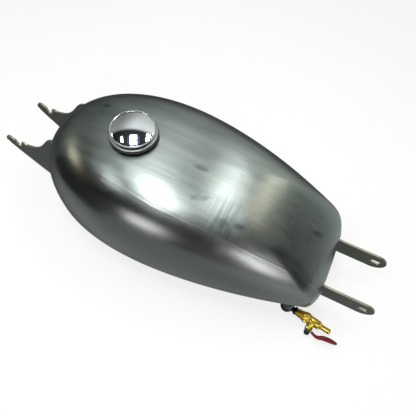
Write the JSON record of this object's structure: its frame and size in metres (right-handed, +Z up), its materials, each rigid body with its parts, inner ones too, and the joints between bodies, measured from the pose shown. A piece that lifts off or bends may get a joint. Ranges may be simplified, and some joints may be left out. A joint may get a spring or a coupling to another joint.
{
  "type": "motorcycle fuel tank",
  "caption": "Bare-steel motorcycle fuel tank with a screw cap, a tunnel under it, hooked front plates, slotted rear straps and a small ball valve at its outlet.",
  "frame": {"origin": "centre of the whole object's bounding box at rest", "axes": "+X to the vehicle's rear, -Y to the vehicle's left, +Z up"},
  "size_m": [0.591, 0.234, 0.175],
  "materials": {
    "raw_steel": "bare sheet steel, ground and brushed along its length",
    "plate_steel": "bare hot-rolled plate, dark olive grey",
    "dark_steel": "dark oiled steel fitting",
    "chrome": "bright chrome plate",
    "zinc_steel": "zinc-plated steel",
    "brass": "turned brass",
    "rubber": "black nitrile rubber",
    "ptfe": "white PTFE",
    "vinyl": "dark red dipped vinyl"
  },
  "bodies": {
    "tank": {"top_panel": "raw_steel", "side_panel_left": "raw_steel", "side_panel_right": "raw_steel", "tunnel": "raw_steel", "floor_left": "raw_steel", "floor_right": "raw_steel", "front_bracket_left": "plate_steel", "front_bracket_right": "plate_steel", "rear_strap_left": "plate_steel", "rear_strap_right": "plate_steel", "filler_neck": "raw_steel", "outlet_bung": "plate_steel", "outlet_elbow": "dark_steel", "valve_body": "brass", "valve_barb": "brass", "ball_seat_inlet": "ptfe", "ball_seat_outlet": "ptfe", "stem_seal": "ptfe"},
    "cap_lift": {"cap_gasket": "rubber"},
    "cap": {"cap_dome": "chrome", "cap_plug": "zinc_steel", "cap_vent_valve": "rubber"},
    "lever": {"valve_ball": "chrome", "valve_stem": "brass", "lever_arm": "zinc_steel", "lever_grip": "vinyl", "lever_washer": "zinc_steel", "lever_nut": "zinc_steel"}
  },
  "joints": [
    {"name": "cap_rise", "type": "slide", "parent": "tank", "child": "cap_lift", "axis": [0, 0, 1], "range_m": [0, 0.0125]},
    {"name": "cap_turn", "type": "hinge", "parent": "cap_lift", "child": "cap", "pos_m": [-0.0795, 0, 0.07], "axis": [0, 0, 1], "range_deg": [0, 900]},
    {"name": "lever_turn", "type": "hinge", "parent": "tank", "child": "lever", "pos_m": [0.2305, -0.07467, -0.0756], "axis": [-0.1182, -0.9631, -0.2419], "range_deg": [0, 90]}
  ],
  "couplings": [
    {"joint": "cap_rise", "follows": "cap_turn", "m_per_rad": 0.00079577}
  ]
}
